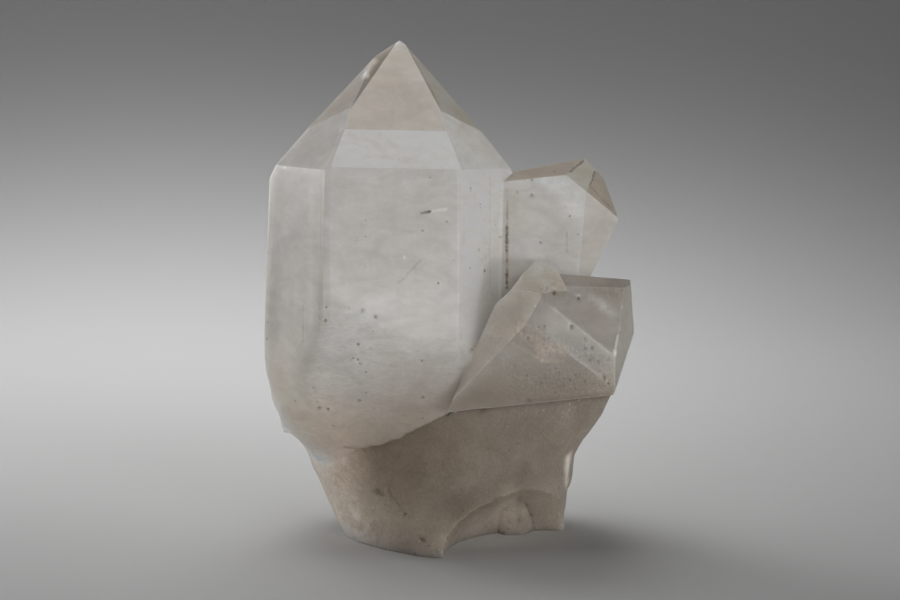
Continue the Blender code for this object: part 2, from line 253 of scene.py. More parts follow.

# Soft tints in the stone, many of them painted light and shade: start, end and radius of a streak, and the
# colour that multiplies it
TINTS = (
    # Painted shade where the rounded lower end curves under, away from the light
    ("painted shade on the lower end", (-18.0, -24.0, 28.0), (-10.0, -26.0, 32.0), 35.0, (0.72, 0.64, 0.56)),
    # Painted light glowing through the thin left end, warm as the quartz
    ("painted light through the left end", (-44.0, -18.0, 42.0), (-34.0, -20.0, 32.0), 20.0, (1.16, 1.08, 1.00)),
    # The upper left face darker, the lower left face lighter
    ("darker upper left face", (-43.0, -8.0, 106.0), (-43.0, -12.0, 90.0), 16.0, 0.88),
    ("lighter lower left face", (-42.0, -18.0, 74.0), (-42.0, -20.0, 50.0), 16.0, 1.10),
    # Painted shade that darkens the left rim of the prism
    ("painted shade on the left rim", (-50.0, -2.0, 104.0), (-50.0, -8.0, 60.0), 8.0, (0.82, 0.82, 0.81)),
    # Painted glow in the middle of the main crystal
    ("painted glow in the middle", (-12.0, -30.0, 68.0), (-9.0, -30.0, 70.0), 20.0, 1.08),
    # Painted light glowing through the foot's thin left rim
    ("foot's glowing left", (-44.0, -14.0, 34.0), (-31.0, -14.0, 2.0), 24.0, (2.85, 3.00, 3.24)),
    ("foot's lower front", (-14.0, -26.0, 9.0), (-4.0, -28.0, 4.0), 12.0, (1.30, 1.31, 1.33)),
    # Painted shade along the edge of the hollow under the foot, and painted light inside the hollow
    ("foot's arch shade, left", (0.0, -26.5, 6.0), (4.0, -26.7, 13.5), 8.0, (0.84, 0.82, 0.79)),
    ("foot's arch shade, top", (4.0, -26.7, 13.5), (20.0, -18.4, 19.0), 8.0, (0.80, 0.78, 0.76)),
    ("foot's hollow light", (9.0, -14.0, 6.5), (22.0, -10.0, 9.0), 10.0, (1.28, 1.28, 1.30)),
    # Painted light that lifts the shade behind the peak
    ("painted light behind the peak", (17.0, -3.4, 74.0), (23.0, -1.4, 76.5), 8.0, 1.12),
    # Painted shade under the overhanging low group
    ("darker foot of the low group", (14.0, -28.0, 46.0), (42.0, -26.0, 47.0), 11.0, (0.86, 0.82, 0.77)),
)

# Granular skin on the low group and under it: start, end, reach and strength
CRUSTS = (
    ("low lower face", (19.0, -29.0, 49.0), (42.0, -26.5, 47.5), 9.0, 1.0),
    ("below the contact line", (22.0, -25.0, 40.5), (42.0, -12.0, 40.5), 8.0, 0.8),
    ("end of the low band", (37.0, -26.5, 57.5), (44.5, -26.0, 50.0), 6.0, 0.8),
    ("pink patch", (18.5, -29.5, 64.0), (32.0, -28.4, 57.5), 5.0, 0.7),
    ("peak", (25.0, -26.5, 76.0), (30.0, -26.5, 72.0), 6.0, 0.45),
    ("low left face", (12.0, -27.0, 60.0), (14.0, -28.0, 50.0), 10.0, 0.35),
    ("right strips", (9.0, -9.5, 99.0), (11.0, -9.5, 74.0), 7.0, 0.30),
    ("front band", (-29.0, -19.8, 111.4), (-22.0, -18.5, 112.5), 5.0, 0.35),
)

# Numbers kept on the mesh for the materials
LEVELS = ("natural", "tongue", "massive", "edge", "crust", "specked", "grain")

# Below these heights the crystal edges are whitened, partly as chips and partly as a painted highlight, and
# the faces have specks: height and fade
TIP_EDGE_TOP, TIP_EDGE_FADE = 136.5, 3.0
SPECK_TOP, SPECK_FADE = 113.0, 8.0

# Painted shade along the crease where the crystals stand on the foot: width, and the share of light it takes
CREASE_SHADE_WIDTH = 0.8
CREASE_SHADE = (0.36, 0.40, 0.44)

# Name, see-through share, milky share, and colour of the cloudy and of the denser crystal
QUARTZES = (
    ("clear_quartz", 0.50, 0.80, (0.71, 0.67, 0.62, 1.0), (0.80, 0.765, 0.72, 1.0)),
    ("milky_quartz", 0.30, 0.85, (0.785, 0.757, 0.715, 1.0), (0.875, 0.858, 0.83, 1.0)),
    ("massive_quartz", 0.15, 0.85, (0.785, 0.757, 0.715, 1.0), (0.875, 0.858, 0.83, 1.0)),
)
# Cloudy and denser quartz of the foot: browner and dirtier, and set darker partly as painted shade, since the
# foot stands in the shade of the crystals above it
MASSIVE_THIN = (0.29, 0.243, 0.192, 1.0)
MASSIVE_DENSE = (0.375, 0.322, 0.262, 1.0)
QUARTZ_IOR = 1.544
SCATTER_REACH = (1.0, 0.94, 0.86)
SCATTER_SCALE = 0.016
INNER_COLOUR = (0.80, 0.74, 0.66, 1.0)
INNER_DENSITY = 12.0

# Noises in the quartz: scale, detail, roughness and distortion; what a range of them turns into
CLOUDS = (0.055, 3.0, 0.55, 0.6)
WISPS = (0.16, 4.0, 0.6, 1.2)
CLOUD_RANGE = (0.38, 0.62)
VEILS = (1.0, 5.0, 0.62, 0.8)
VEIL_STRETCH = (0.10, 0.10, 0.24)
VEIL_RANGE = (0.35, 0.65, 0.91, 1.06)
RIPPLES = (1.0, 4.0, 0.65, 0.5)
RIPPLE_STRETCH = (0.55, 0.55, 1.7)
RIPPLE_RANGE = (0.35, 0.65, -0.06, 0.06)
GRAININESS = (1.3, 3.0, 0.75)
GRAIN_RANGE = (0.3, 0.7, -0.14, 0.14)
PATCHES = (0.11, 2.0, 0.5)
PATCH_RANGE = (0.47, 0.60)
GLOSS = (0.35, 2.0, 0.6)
ROUGHNESS_RANGE = (0.3, 0.7, 0.29, 0.40)
BUMPS = (1.2, 3.0, 0.7)
GAPS = (0.9, 2.0, 0.6)
GAP_RANGE = (0.36, 0.54, 0.35, 1.0)
WANDER = (0.45, 3.0)
UNEVEN = (1.6, 1.0)

# How much rougher broken stone and chipped edges are, and how high the bumps and ripples stand
BROKEN_ROUGHNESS = 0.22
EDGE_ROUGHNESS = 0.15
BUMP_HEIGHT = 0.38
RIPPLE_HEIGHT = 0.26
FACE_RIPPLE_HEIGHT = 0.02

# Strength of the white dots: plain, more where it is broken, on crusts; of the dark dots, of the edges
WHITE_PLAIN, WHITE_BROKEN, WHITE_CRUST = 0.06, 0.10, 0.50
DARK_STRENGTH = 0.60
EDGE_STRENGTH = 0.30

# How far noise bends the dots, the broad marks and the thin marks
DOT_BEND, BROAD_BEND, THIN_BEND = 0.9, 1.5, 0.7

# Scattered dots: spacing, chance and size
WHITE_DOTS = (1.1, 0.10, 0.32)
WHITE_CRUST_DOTS = (0.95, 0.45, 0.36)
DARK_DOTS = (2.2, 0.34, 0.52)
DARK_CRUST_DOTS = (1.35, 0.42, 0.46)
WHITE_DOT = (0.85, 0.84, 0.82, 1.0)
DARK_DOT = (0.16, 0.13, 0.10, 1.0)
# White of the crystal edges: partly real chips, partly a painted highlight along them
CHIP_AND_HIGHLIGHT_WHITE = (0.92, 0.91, 0.89, 1.0)
GRAIN = (0.105, 0.088, 0.072, 1.0)

# Fine marks drawn by the materials, among them painted highlights, glints and shade: reach, the colour that
# multiplies, and places along the line
MARKS = {
    "any": (
        ("bright sliver", 0.7, 1.5, (-1.0, -5.2, 120.4), (3.0, -1.2, 117.6)),
        # Painted shade along the left silhouette
        ("left silhouette", 1.1, (0.78, 0.77, 0.75), (-50.8, 0.5, 105.0), (-51.2, -3.0, 62.0)),
        # Painted highlight along the upper ridge of the low group
        ("low ridge, upper", 0.6, (1.28, 1.27, 1.26), (24.5, -27.9, 72.5), (44.2, -25.1, 56.7)),
        ("sparkle", 1.0, 9.0, (45.5, -24.7, 56.7), (45.5, -24.7, 56.5)),
        ("sparkle, upper", 0.6, 4.0, (45.7, -24.2, 58.3), (46.3, -22.7, 60.7)),
        ("glint", 0.5, 3.0, (46.7, -21.8, 62.5), (46.8, -21.6, 62.8)),
        ("glint, upper", 0.5, 2.5, (47.4, -19.5, 68.2), (47.5, -19.4, 68.6)),
        ("brown side of the peak", 2.6, (0.84, 0.78, 0.70), (26.7, -25.2, 78.4), (30.0, -25.2, 74.2)),
        ("line across the foot", 0.7, (0.62, 0.54, 0.44), (-29.3, -18.7, 28.6), (-23.5, -18.9, 27.4)),
        ("pale patch", 2.4, 1.10, (-37.4, -25.2, 44.1), (-33.6, -24.6, 41.1)),
        # Painted shade along the line where the low group overhangs the foot
        ("contact line", 1.1, (0.80, 0.76, 0.70),
            (8.8, -22.9, 40.6), (21.9, -28.2, 44.0), (44.0, -25.9, 45.4)),
    ),
    "clear_quartz": (
        # Painted highlight: the white reflection in the clear tip
        ("light in the tip, low", 2.0, 3.2, (-22.0, 5.4, 134.2), (-23.9, 2.4, 131.2)),
        ("light in the tip, right", 1.3, 3.0, (-23.9, 2.2, 131.2), (-23.6, 0.8, 130.2)),
        ("shade by the tip", 1.2, (0.72, 0.67, 0.60), (-11.6, 8.9, 136.7), (-3.3, -3.9, 123.4)),
        ("black line of the side", 0.50, (0.08, 0.06, 0.05), (38.9, 19.6, 104.8), (34.4, 11.2, 102.3)),
        ("second black line", 0.45, (0.12, 0.10, 0.08), (42.1, 19.0, 101.6), (40.3, 12.7, 98.5)),
        ("dark line to its right", 0.5, (0.6, 0.55, 0.48), (39.9, 12.0, 98.3), (46.4, 15.6, 91.3)),
        ("dark top strip", 6.0, (0.78, 0.73, 0.66), (41.0, -19.5, 74.5), (48.5, -18.5, 73.5)),
        ("milky streak, upper", 2.2, (1.40, 1.45, 1.50), (39.0, -22.1, 71.7), (41.5, -21.8, 69.7)),
        ("milky streak, lower", 2.4, (1.40, 1.45, 1.50), (43.0, -21.5, 68.4), (44.8, -21.3, 66.8)),
    ),
    "milky_quartz": (
        ("tip growth line, low", 0.4, 1.05, (-27.6, -10.9, 118.8), (-6.0, -9.6, 118.2)),
        ("tip growth line, middle", 0.4, 0.95, (-24.0, -9.0, 120.2), (-3.4, -8.2, 119.4)),
        ("tip growth line, high", 0.4, 1.05, (-26.6, -9.2, 120.4), (-12.0, -7.6, 121.2)),
        ("band smudge", 1.6, (0.91, 0.91, 0.90), (-19.8, -17.4, 112.4), (-17.6, -18.8, 110.6)),
        ("band wisp, left", 0.9, (0.94, 0.94, 0.93), (-29.0, -16.4, 113.6), (-19.0, -15.6, 114.0)),
        ("band wisp, low", 1.6, (0.96, 0.96, 0.95), (-30.0, -20.6, 109.4), (-4.0, -19.2, 109.0)),
        ("dark foot of the band", 0.7, (0.80, 0.78, 0.75), (-33.7, -22.0, 107.2), (3.5, -19.3, 106.4)),
        ("light head of the band", 1.0, 1.12, (-30.0, -13.2, 116.8), (-0.4, -11.2, 116.2)),
        ("band edge, left", 0.6, 1.14, (-29.9, -13.2, 116.9), (-33.7, -21.8, 107.6)),
        ("band edge, right", 0.6, 1.14, (-0.4, -11.0, 116.5), (4.4, -18.2, 106.8)),
        ("right prism line", 0.5, (0.80, 0.77, 0.73), (11.2, -3.1, 104.0), (11.2, -9.4, 72.1)),
        ("left prism line", 0.5, (0.84, 0.82, 0.79),
            (-34.9, -20.8, 106.9), (-35.1, -24.7, 90.7), (-35.3, -28.9, 66.6)),
        ("left prism line, low", 0.6, (0.88, 0.85, 0.81), (-35.3, -28.9, 66.6), (-36.8, -26.0, 45.9)),
        ("left face line", 0.5, (0.80, 0.76, 0.71), (-40.4, -21.4, 69.4), (-40.4, -23.8, 59.5)),
        ("left face stripe", 2.6, 1.06, (-38.1, -17.7, 100.7), (-38.0, -26.5, 63.4)),
        # Painted shade down the groove between the main and the side crystal
        ("groove, top", 0.55, (0.62, 0.54, 0.44), (16.2, 4.4, 100.6), (16.1, 0.1, 87.7)),
        ("groove, dark", 0.75, (0.20, 0.15, 0.10), (16.1, 0.1, 87.7), (16.1, -1.5, 81.6)),
        ("groove, middle", 0.6, (0.48, 0.40, 0.31), (16.1, -1.5, 81.6), (16.1, -3.4, 75.0)),
        ("groove, low", 0.7, (0.22, 0.17, 0.12), (16.1, -3.4, 75.0), (16.1, -4.4, 71.2)),
        ("stain along the groove", 3.0, (1.02, 0.975, 0.94), (15.4, -0.5, 84.1), (15.4, -3.4, 73.0)),
        ("dark dash", 0.5, (0.12, 0.10, 0.08), (-7.9, -24.0, 95.2), (-5.4, -23.7, 95.7)),
        ("light after the dash", 0.6, 1.3, (-4.9, -23.7, 95.7), (-1.1, -23.3, 96.2)),
        ("light dot", 0.6, 1.6, (-12.5, -26.6, 83.5), (-12.4, -26.6, 83.3)),
        ("slanting line", 0.5, (0.82, 0.81, 0.79), (-13.6, -28.0, 76.6), (-8.1, -26.4, 82.7)),
        # Painted highlight near the top of the side crystal
        ("side patch, left", 3.0, (1.08, 1.12, 1.16), (25.6, 6.3, 100.6), (32.2, 8.0, 100.4)),
        ("side patch, right", 3.8, (1.12, 1.15, 1.18), (30.3, 7.5, 97.7), (36.0, 7.0, 93.0)),
        ("side specks", 0.6, (0.55, 0.52, 0.48), (21.0, 5.0, 97.6), (23.4, 5.2, 96.4)),
        ("side line", 0.45, (0.74, 0.71, 0.67), (33.3, 4.3, 85.9), (33.3, 2.8, 80.4)),
        ("warm left of the side", 3.6, (1.0, 0.965, 0.935), (18.6, 3.5, 98.1), (18.6, 0.6, 88.3)),
        # Painted highlight along the lower ridge of the low group
        ("low ridge, lower", 0.7, (1.16, 1.17, 1.18), (32.7, -28.0, 57.5), (42.8, -26.6, 48.9)),
        ("light between the ridges", 3.0, (1.04, 1.05, 1.07), (35.5, -26.8, 61.2), (42.3, -26.1, 53.6)),
        ("pink patch, upper", 3.4, (1.24, 1.20, 1.20), (18.0, -29.6, 63.9), (25.9, -28.9, 58.9)),
        ("pink patch, lower", 3.4, (1.27, 1.23, 1.23), (25.0, -28.9, 57.8), (31.0, -28.4, 57.8)),
        ("pink patch's edge", 0.7, (1.24, 1.22, 1.20), (17.2, -29.2, 60.4), (25.2, -29.0, 55.2)),
        ("pink patch's edge, right", 0.8, (1.30, 1.27, 1.25), (25.2, -29.0, 55.2), (31.0, -28.2, 55.0)),
        ("pink patch's edge, left", 0.8, (0.86, 0.84, 0.82), (23.4, -29.0, 57.0), (17.4, -28.8, 64.1)),
        # Painted highlight on the top of the peak
        ("top of the peak", 3.2, (1.15, 1.20, 1.25), (24.1, -22.7, 79.9), (26.0, -24.0, 78.6)),
        ("low group's light end", 5.0, (1.16, 1.17, 1.18), (43.0, -26.2, 50.0), (42.0, -26.4, 46.8)),
    ),
    "massive_quartz": (
        ("scratch", 0.6, (0.78, 0.74, 0.70), (-17.3, -21.6, 17.0), (-12.5, -24.5, 10.9)),
        ("dark dash of the foot", 0.5, (0.30, 0.25, 0.20), (-8.4, -27.2, 4.8), (-7.0, -27.8, 4.1)),
        # Painted light inside the wedge under the foot, and painted shade in the fold beside it
        ("light wedge", 5.0, (1.42, 1.42, 1.43), (16.4, -18.8, 15.4), (15.2, -7.5, 3.8)),
        ("dark fold", 1.6, (0.70, 0.66, 0.60), (19.4, -15.4, 13.3), (20.3, -7.7, 4.5)),
        ("light right lobe", 7.0, 1.12, (29.2, -11.2, 14.9), (29.3, -4.1, 4.1)),
        ("bright fin", 2.6, (2.7, 2.85, 3.05), (33.4, -9.6, 23.5), (34.4, -3.6, 14.0)),
        ("light upright band", 4.0, 1.10, (-5.0, -23.2, 27.4), (-6.1, -25.0, 15.1)),
        ("shade under the group", 1.6, (0.72, 0.67, 0.60),
            (8.8, -22.7, 39.6), (21.9, -27.6, 43.6), (41.2, -26.0, 44.0)),
    ),
}
THIN_MARK = 0.8
BRIGHT_MARK = 2.0

# Name, place, the point it faces, size, watts and spread
LIGHTS = (
    ("over_middle", (-0.12, 0.12, 0.75), (-0.10, 0.12, 0.0), (0.55, 0.45), 0.457, 180.0),
    ("over_left", (-0.45, 0.40, 0.65), (-0.10, 0.15, 0.0), (0.50, 0.40), 0.45, 180.0),
    ("above", (-0.05, 0.05, 0.60), (-0.05, 0.05, 0.0), (0.35, 0.30), 0.059, 70.0),
    ("behind", (-0.10, 0.28, 0.50), (-0.10, 0.28, 0.0), (0.45, 0.30), 0.55, 90.0),
    ("back_left", (-0.90, 0.75, 0.25), (0.0, 0.0, 0.10), (0.50, 0.40), 0.787, 60.0),
    ("front_right", (0.95, -0.90, 0.14), (0.0, 0.0, 0.085), (0.80, 0.22), 0.37, 40.0),
    ("front", (0.0, -1.40, 0.15), (0.0, 0.0, 0.085), (0.80, 0.22), 0.19, 30.0),
    ("front_left", (-0.95, -0.90, 0.14), (0.0, 0.0, 0.085), (0.80, 0.22), 0.126, 40.0),
    ("over_right", (0.55, -0.85, 0.55), (0.02, 0.0, 0.09), (0.50, 0.40), 0.10, 60.0),
    ("left", (-0.90, 0.10, 0.25), (0.0, 0.0, 0.10), (0.50, 0.40), 0.103, 180.0),
    ("right", (0.90, 0.10, 0.25), (0.0, 0.0, 0.10), (0.50, 0.40), 0.90, 180.0),
)

# Pale floor that curves up into the backdrop: where it starts to rise, its curve and half width
SWEEP_START, SWEEP_RADIUS, SWEEP_WIDTH = 0.30, 0.9, 2.5
SWEEP_FRONT = (-2.0, -1.0, 0.0)
SWEEP_TOP = 2.5
SWEEP_GREY = (0.62, 0.62, 0.62, 1.0)
SWEEP_ROUGHNESS = 0.75


def row(point):
    """Point of the drawing in the row frame."""
    return Vector((np.array(point, float) + SHIFT) * MM)


def direction(turn, rise):
    """Unit vector from a turn about Z and a rise above the level, in degrees."""
    flat = cos(radians(rise))
    return np.array((flat * cos(radians(turn)), flat * sin(radians(turn)), sin(radians(rise))))


def main_placing():
    """Turns the main crystal's own frame, with the tip at its origin, into the drawing's."""
    return (
        Matrix.Translation(MAIN_TIP)
        @ Matrix.Rotation(radians(MAIN_LEAN_RIGHT), 4, "Y")
        @ Matrix.Rotation(radians(-MAIN_LEAN_BACK), 4, "X")
        @ Matrix.Rotation(radians(MAIN_TURN), 4, "Z"))


def on_prism(middle, normal):
    """Whether a face is one of the main crystal's prism faces."""
    back = main_placing().inverted()
    place = np.array(back @ Vector(middle))
    facing = np.array(back.to_3x3() @ Vector(normal))
    return any(
        np.dot(facing, direction(turn, PRISM_RISE)) > SAME_FACING
        and abs(np.dot(place, direction(turn, PRISM_RISE)) - distance) < PRISM_SLACK
        for turn, distance in PRISM_FACES)


def tongue_measure(points):
    """1 on the rounded lower end of the main crystal, less inside it."""
    turn = np.array(Matrix.Rotation(radians(TONGUE_ROLL), 3, "Y"))
    local = (points - np.array(TONGUE_CENTRE)) @ turn
    above = np.maximum(local[:, 2], 0.0) / TONGUE_RISE
    below = np.maximum(-local[:, 2], 0.0) / TONGUE_RADII[2]
    across = np.abs(local[:, 0]) / (TONGUE_RADII[0] * (1.0 + above))
    along = np.abs(local[:, 1]) / (TONGUE_RADII[1] * (1.0 + above))
    flat = (across ** TONGUE_SQUARE + along ** TONGUE_SQUARE) ** (1.0 / TONGUE_SQUARE)
    return np.sqrt(flat ** 2 + above ** 2 + below ** 2)


def slope_of(measure, points):
    """How fast a measure of space grows along x, y and z at each point."""
    return np.stack([measure(points + d) - measure(points - d) for d in np.eye(3) * 0.5], 1)


def main_distance(points):
    """Distance out of the main crystal's flat faces and rounded lower end, joined smoothly."""
    back = main_placing().inverted()
    place = points @ np.array(back.to_3x3()).T + np.array(back.translation)
    flat = np.max([place @ direction(turn, PRISM_RISE) - away for turn, away in PRISM_FACES], axis=0)
    rounded = (tongue_measure(points) - 1.0) / np.linalg.norm(slope_of(tongue_measure, points), axis=1)
    share = np.clip(0.5 + 0.5 * (flat - rounded) / JOIN_DEPTH, 0.0, 1.0)
    return rounded + (flat - rounded) * share + JOIN_DEPTH * share * (1.0 - share)


def flat_faces(node):
    """The CAD solid in millimetres with its triangles joined into flat faces."""
    bm = bmesh.new()
    bm.from_mesh(node.data)
    for vert in bm.verts:
        vert.co = Vector(np.array(vert.co) / MM - SHIFT)
    bmesh.ops.remove_doubles(bm, verts=bm.verts[:], dist=WELD)
    bmesh.ops.dissolve_limit(
        bm, angle_limit=radians(FLAT_ANGLE), use_dissolve_boundaries=False,
        verts=bm.verts[:], edges=bm.edges[:])
    for spot, start, end in SPLITS:
        face = face_at(bm, spot)
        along = Vector(end) - Vector(start)
        parts = list(face.verts) + list(face.edges) + [face]
        bmesh.ops.bisect_plane(bm, geom=parts, plane_co=start, plane_no=face.normal.cross(along))
    bm.verts.index_update()
    bm.edges.index_update()
    bm.faces.index_update()
    return bm


def face_at(bm, spot):
    """The face that a point lies on, or else the nearest large one in the same plane."""
    spot = Vector(spot)
    best, best_away = None, 1e9
    for face in bm.faces:
        off_plane = abs((spot - face.verts[0].co).dot(face.normal))
        if off_plane < PLANE_SLACK:
            away = off_plane + MISS_COST * (not covers(face, spot))
            away += MIDDLE_COST * (spot - face.calc_center_median()).length / sqrt(face.calc_area())
            if away < best_away:
                best, best_away = face, away
    return best


def covers(face, spot):
    """Whether a point of a face's plane lies within the face."""
    axis = max(range(3), key=lambda k: abs(face.normal[k]))
    keep = [k for k in range(3) if k != axis]
    ring = np.array([[vert.co[k] for k in keep] for vert in face.verts])
    return bool(inside(np.array([[spot[k] for k in keep]]), ring)[0])


def in_pit(middle):
    """Whether a small face belongs to one of the CAD's pits."""
    return min(np.linalg.norm(middle - np.array(grain[:3])) for grain in GRAINS) < GRAIN_REACH


def on_rounded_end(middle, normal):
    """Whether a face is a facet of the rounded lower end, or of a pit in it."""
    off = abs(tongue_measure(middle[None])[0] - 1.0)
    slope = slope_of(tongue_measure, middle[None])[0]
    along = np.dot(normal, slope / np.linalg.norm(slope)) > TONGUE_FACING
    facet = middle[2] < TONGUE_TOP and off < ON_TONGUE and along
    return facet or (FOOT_TOP < middle[2] < GROUP_LOW and off < NEAR_TONGUE and in_pit(middle))


def on_foot(middle, normal, area):
    """Whether a face that isn't on the rounded end belongs to the massive foot."""
    off = abs(tongue_measure(middle[None])[0] - 1.0)
    left = middle[0] < LEFT_STUB_X and middle[2] < LEFT_STUB_TOP
    if middle[2] < FOOT_TOP or (left and area < LEFT_STUB_AREA and off > OFF_TONGUE):
        return True
    if any(np.dot(normal, direction(*facing)) > SAME_FACING for facing in FOOT_BREAKS):
        return True
    return middle[2] < GROUP_LOW and area < BROKEN_AREA


def kind_of(face):
    """Which kind of surface a flat CAD face belongs to."""
    middle = np.array(face.calc_center_median())
    normal = np.array(face.normal)
    if normal[2] < UNDER_FACING and middle[2] < UNDER_TOP:
        return UNDERSIDE
    if middle[2] > PRISM_LOW and on_prism(middle, normal):
        return PRISM
    if on_rounded_end(middle, normal):
        return TONGUE
    return FOOT if on_foot(middle, normal, face.calc_area()) else CRYSTAL


def inside(points, ring):
    """Which points lie inside a closed ring of points."""
    x, y = points[:, 0][:, None], points[:, 1][:, None]
    ax, ay = ring[:, 0][None], ring[:, 1][None]
    bx, by = np.roll(ring[:, 0], -1)[None], np.roll(ring[:, 1], -1)[None]
    rising = (ay > y) != (by > y)
    reach = ax + (y - ay) * (bx - ax) / np.where(by == ay, 1e-12, by - ay)
    return (np.sum(rising & (x < reach), axis=1) % 2) == 1


def nearest(points, others):
    """Distance of each point to the nearest of the others."""
    blocks = np.array_split(points, max(1, len(points) // BLOCK))
    return np.concatenate([
        np.sqrt(((block[:, None] - others[None]) ** 2).sum(2)).min(1) for block in blocks])


def grid_inside(ring, step, rng, marks, guarded):
    """Evenly scattered points inside a ring, clear of its sides, and closer ones at the marks.

    A guarded ring gets a row of points just inside it, so that wear stays on the edge itself.
    """
    coarse = scattered_in(ring, step, rng)
    if guarded:
        guards = guard_row(ring)
        if len(coarse) and len(guards):
            coarse = coarse[nearest(coarse, guards) > step * GUARD_CLEARANCE]
        coarse = np.concatenate((coarse, guards))
    if not len(marks):
        return coarse
    fine = scattered_in(ring, GRAIN_STEP, rng)
    apart = nearest(coarse, marks) > GRAIN_REACH + GRAIN_MARGIN
    return np.concatenate((coarse[apart], fine[nearest(fine, marks) < GRAIN_REACH]))


def guard_row(ring):
    """Row of points a little inside a ring that runs anticlockwise."""
    before, after = ring - np.roll(ring, 1, 0), np.roll(ring, -1, 0) - ring
    along = sum(side / np.linalg.norm(side, axis=1)[:, None] for side in (before, after))
    size = np.linalg.norm(along, axis=1)
    inward = np.stack((-along[:, 1], along[:, 0]), 1) / np.maximum(size, 1e-9)[:, None]
    guards = (ring + inward * EDGE_GUARD)[size > GUARD_STRAIGHT]
    guards = guards[inside(guards, ring)]
    return guards[nearest(guards, ring) > EDGE_GUARD * GUARD_SHARE]


def scattered_in(ring, step, rng):
    """Evenly scattered points inside a ring, clear of its sides."""
    low, high = ring.min(0), ring.max(0)
    rows = np.arange(low[1], high[1] + step, step * ROW_SPACING)
    columns = np.arange(low[0], high[0] + step, step)
    x, y = np.meshgrid(columns, rows)
    x = x + (np.arange(len(rows)) % 2)[:, None] * step * 0.5
    points = np.stack((x.ravel(), y.ravel()), 1)
    points += rng.uniform(-JITTER, JITTER, points.shape) * step
    points = points[inside(points, ring)]
    return points[nearest(points, ring) > step * SIDE_CLEARANCE]


def split_edges(bm, kinds, points):
    """Adds points along every edge: the run of new ones on each, and the ridge that it makes."""
    runs, ridges = {}, []
    for edge in bm.edges:
        start, end = edge.verts
        sides = {kinds[face.index] for face in edge.link_faces}
        step = EDGE_STEP if sides <= FLAT_KINDS else NATURAL_STEP
        count = max(1, round(edge.calc_length() / step))
        first = len(points)
        a, b = np.array(start.co), np.array(end.co)
        points.extend(a + (b - a) * k / count for k in range(1, count))
        between = list(range(first, len(points)))
        runs[edge.index] = (start.index, between)
        ridges.append(([start.index, *between, end.index], edge.calc_face_angle_signed(0.0), sides))
    return runs, ridges


def outline_of(face, runs):
    """Numbers of the points around a face."""
    ids = []
    for loop in face.loops:
        start, between = runs[loop.edge.index]
        ids.append(loop.vert.index)
        ids.extend(between if start == loop.vert.index else between[::-1])
    return ids


def filled(face, kind, ids, points, rng):
    """Triangles over a flat face, whose inner points go to the end of the list."""
    normal = np.array(face.normal)
    across = np.cross(normal, (0.0, 0.0, 1.0) if abs(normal[2]) < 0.9 else (1.0, 0.0, 0.0))
    across /= np.linalg.norm(across)
    along = np.cross(normal, across)
    origin = points[ids[0]]
    ring = np.array([((points[i] - origin) @ across, (points[i] - origin) @ along) for i in ids])
    grains = [np.array(grain[:3]) - origin for grain in GRAINS]
    marks = [(grain @ across, grain @ along) for grain in grains if abs(grain @ normal) < PLANE_SLACK]
    marks = np.array([m for m in marks if np.abs(ring - m).max(1).min() < GRAIN_FAR]).reshape(-1, 2)
    flat = kind in FLAT_KINDS
    scattered = grid_inside(ring, FACE_STEP if flat else NATURAL_STEP, rng, marks, flat)
    places = [Vector(place) for place in (*ring, *scattered)]
    made = geometry.delaunay_2d_cdt(places, [], [list(range(len(ids)))], 1, 1e-5)
    lookup = []
    for place, sources in zip(made[0], made[3]):
        if sources and min(sources) < len(ids):
            lookup.append(ids[min(sources)])
        else:
            lookup.append(len(points))
            points.append(origin + across * place.x + along * place.y)
    corners = ([lookup[corner] for corner in triangle] for triangle in made[2])
    return [triangle for triangle in corners if len(set(triangle)) == 3]


def middles(values, pairs):
    """Mean of each point's neighbours."""
    count = len(values)
    first, second = pairs[:, 0], pairs[:, 1]
    links = np.bincount(first, minlength=count) + np.bincount(second, minlength=count)
    total = [
        np.bincount(first, values[second, k], count) + np.bincount(second, values[first, k], count)
        for k in range(values.shape[1])]
    return np.stack(total, 1) / np.maximum(links, 1)[:, None]


